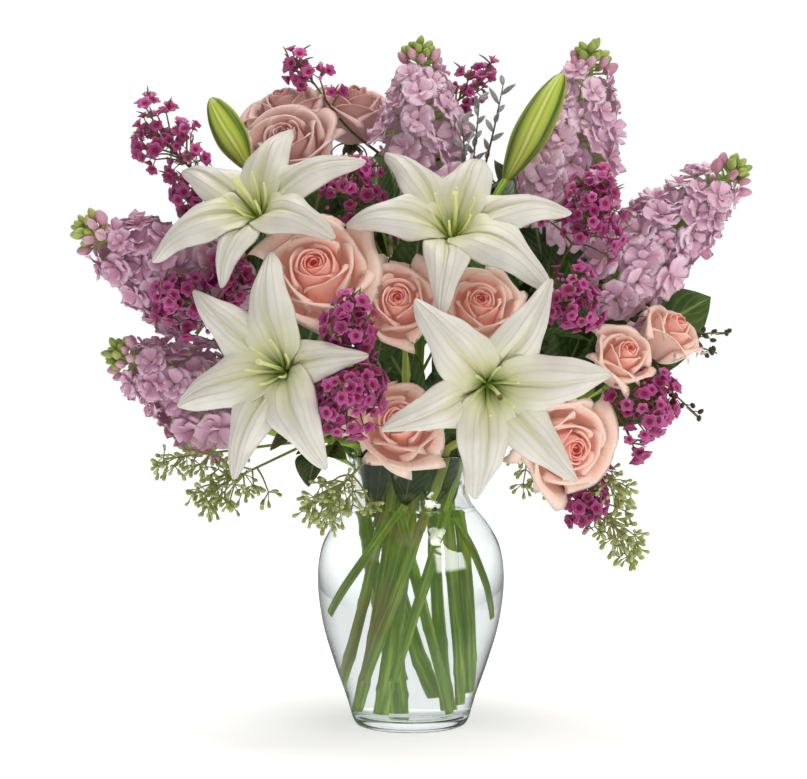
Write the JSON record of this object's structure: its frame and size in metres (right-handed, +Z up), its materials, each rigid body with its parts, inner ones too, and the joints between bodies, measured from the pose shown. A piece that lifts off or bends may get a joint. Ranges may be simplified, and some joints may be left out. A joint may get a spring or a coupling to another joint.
{
  "type": "lilies in a vase",
  "caption": "White lilies with pink roses, lilac stock, magenta waxflower and greens, standing in a clear glass vase of water.",
  "frame": {"origin": "centre of the vase's underside, on the surface it stands on", "axes": "+Z up along the vase's axis; the arrangement's front faces -Y; +X is to the right seen from the front"},
  "size_m": [0.447, 0.341, 0.467],
  "materials": {
    "clear_glass": "clear, polished, slightly thick at the foot",
    "water": "clear still water, stood in by glass",
    "lily_tepal": "matt, waxy, cream white with a green throat",
    "lily_filament": "smooth, pale yellow-green",
    "green_stem": "smooth, waxy, mid green",
    "rose_petal": "matt, velvety, peach pink with pale edges",
    "dusty_rose_petal": "matt, velvety, dusty pink",
    "stock_petal": "matt, ruffled, lilac pink",
    "waxflower": "waxy, magenta with a dark red heart",
    "seeded_eucalyptus": "matt, pale olive green",
    "leaf": "satin, dark green"
  },
  "bodies": {
    "root": {"vase": "clear_glass", "water": "water", "lily_upper_left": "lily_tepal", "lily_upper_left_filaments": "lily_filament", "lily_upper_right": "lily_tepal", "lily_upper_right_filaments": "lily_filament", "lily_lower_left": "lily_tepal", "lily_lower_left_filaments": "lily_filament", "lily_lower_right": "lily_tepal", "lily_lower_right_filaments": "lily_filament", "lily_stem_left": "green_stem", "lily_stem_right": "green_stem", "rose_left": "rose_petal", "rose_middle": "rose_petal", "rose_right": "rose_petal", "rose_low": "rose_petal", "rose_low_right": "rose_petal", "spray_rose_1": "rose_petal", "spray_rose_2": "rose_petal", "spray_rose_3": "dusty_rose_petal", "spray_rose_4": "dusty_rose_petal", "spray_rose_5": "dusty_rose_petal", "back_rose_1": "rose_petal", "back_rose_2": "rose_petal", "rose_stem_left": "green_stem", "rose_stem_middle": "green_stem", "rose_stem_right": "green_stem", "rose_stem_low": "green_stem", "rose_stem_low_right": "green_stem", "spray_rose_stem_right": "green_stem", "spray_rose_stem_top": "green_stem", "spray_rose_stem_back": "green_stem", "stock_left_stem": "green_stem", "stock_low_left_stem": "green_stem", "stock_top_stem": "green_stem", "stock_top_right_stem": "green_stem", "stock_right_stem": "green_stem", "stock_back_stem": "green_stem", "stock_left_flowers": "stock_petal", "stock_low_left_flowers": "stock_petal", "stock_top_flowers": "stock_petal", "stock_top_right_flowers": "stock_petal", "stock_right_flowers": "stock_petal", "stock_back_flowers": "stock_petal", "waxflower_left": "waxflower", "waxflower_mid_left": "waxflower", "waxflower_upper": "waxflower", "waxflower_centre": "waxflower", "waxflower_right": "waxflower", "waxflower_low_right": "waxflower", "waxflower_top": "waxflower", "seeded_eucalyptus_left": "seeded_eucalyptus", "seeded_eucalyptus_front": "seeded_eucalyptus", "seeded_eucalyptus_right": "seeded_eucalyptus", "seeded_eucalyptus_back": "seeded_eucalyptus", "greenery_left": "leaf", "greenery_right": "leaf", "greenery_middle": "leaf", "greenery_back": "leaf"}
  },
  "joints": []
}
